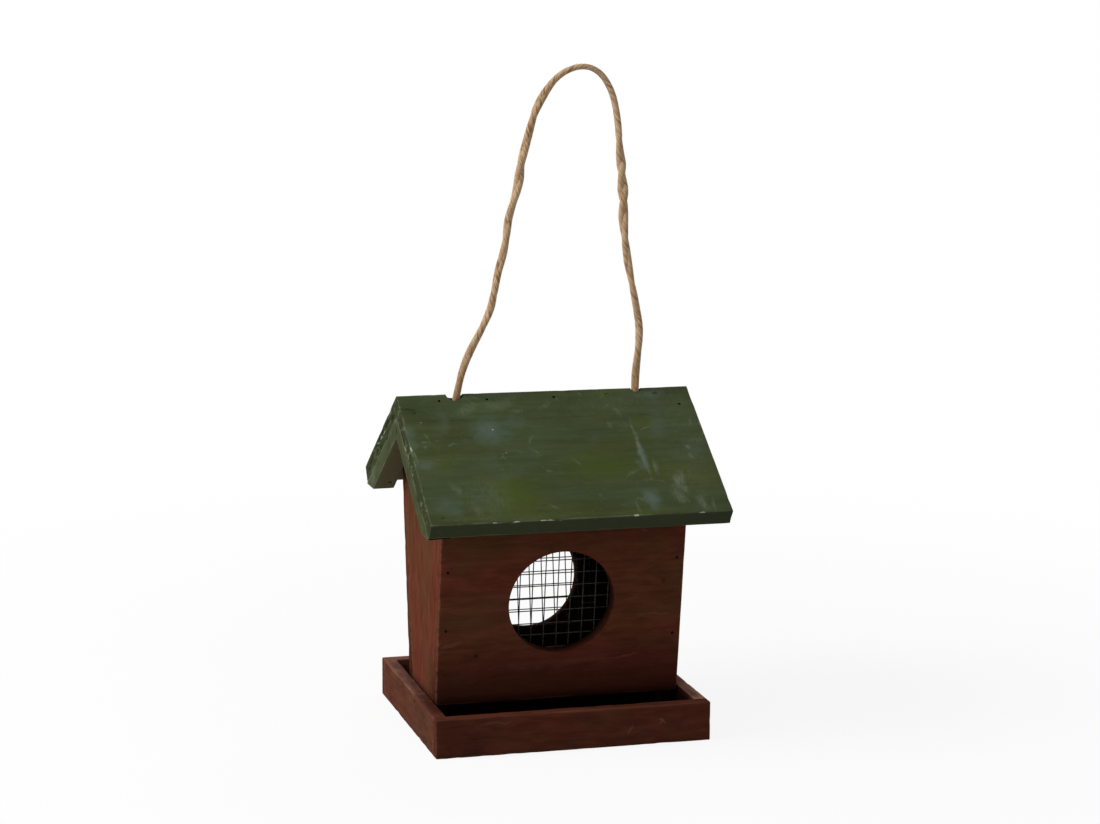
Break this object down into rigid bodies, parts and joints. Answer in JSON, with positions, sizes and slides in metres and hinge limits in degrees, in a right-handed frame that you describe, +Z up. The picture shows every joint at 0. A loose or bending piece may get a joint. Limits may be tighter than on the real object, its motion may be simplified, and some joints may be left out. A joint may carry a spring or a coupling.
{
  "type": "hanging bird feeder",
  "caption": "Wooden hopper bird feeder: tray, leaning walls with round mesh windows, and a saddle roof that lifts along the cord it hangs by.",
  "frame": {"origin": "centre of the tray's underside, which is also the centre of the roof's plan", "axes": "+Z up, +X along the ridge to the right seen from the front, +Y from the front to the rear"},
  "size_m": [0.149, 0.149, 0.3285],
  "materials": {
    "brown_wood": "stained red-brown, satin",
    "green_wood": "stained dark green, worn",
    "mesh_wire": "galvanised, dull",
    "nail_steel": "dull bright steel",
    "jute": "laid jute twine"
  },
  "bodies": {
    "house": {"tray_floor": "brown_wood", "tray_rail_front": "brown_wood", "tray_rail_rear": "brown_wood", "tray_rail_left": "brown_wood", "tray_rail_right": "brown_wood", "front_wall": "brown_wood", "rear_wall": "brown_wood", "left_end_wall": "brown_wood", "right_end_wall": "brown_wood", "front_mesh": "mesh_wire", "rear_mesh": "mesh_wire", "front_mesh_staples": "nail_steel", "rear_mesh_staples": "nail_steel", "front_wall_nails": "nail_steel", "rear_wall_nails": "nail_steel", "rail_corner_nails": "nail_steel", "floor_edge_nails": "nail_steel", "rail_to_wall_nails": "nail_steel", "floor_nails": "nail_steel", "cord_loop": "jute", "cord_leg_left": "jute", "cord_leg_right": "jute", "cord_knot_left": "jute", "cord_knot_right": "jute"},
    "roof": {"roof_board_front": "green_wood", "roof_board_rear": "green_wood", "roof_batten_front_left": "green_wood", "roof_batten_front_right": "green_wood", "roof_batten_rear_left": "green_wood", "roof_batten_rear_right": "green_wood", "ridge_nails": "nail_steel", "batten_nails": "nail_steel"}
  },
  "joints": [
    {"name": "roof_lift", "type": "slide", "parent": "house", "child": "roof", "axis": [0, 0, 1], "range_m": [0, 0.08], "deforming": ["cord_loop", "cord_leg_left", "cord_leg_right"]}
  ]
}
